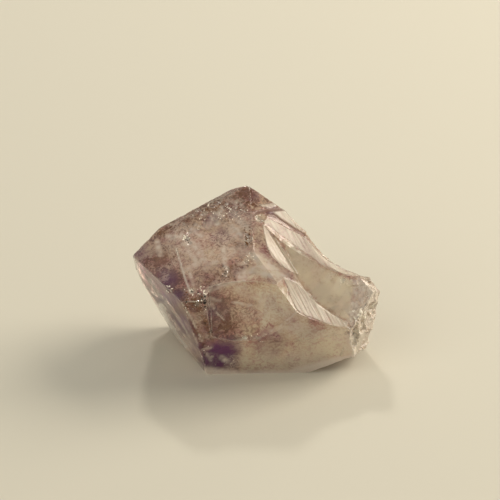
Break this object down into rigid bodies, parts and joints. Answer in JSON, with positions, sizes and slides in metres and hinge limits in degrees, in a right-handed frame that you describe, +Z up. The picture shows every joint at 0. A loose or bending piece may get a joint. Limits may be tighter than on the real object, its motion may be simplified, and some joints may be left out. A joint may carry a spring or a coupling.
{
  "type": "amethyst point",
  "caption": "Broken-off amethyst crystal point lying on its side, with pointed natural faces at one end and shell-shaped fracture hollows at the other; a mineral specimen.",
  "frame": {"origin": "middle of the stone's box in plan, on the surface that it rests on", "axes": "+X along the length towards the broken end, +Y away from the front face, +Z up"},
  "size_m": [0.0402, 0.025, 0.0251],
  "materials": {
    "amethyst": "see-through pale violet quartz, glossy natural faces and rippled broken faces, cloudy veils inside"
  },
  "bodies": {
    "root": {"amethyst_point": "amethyst"}
  },
  "joints": []
}
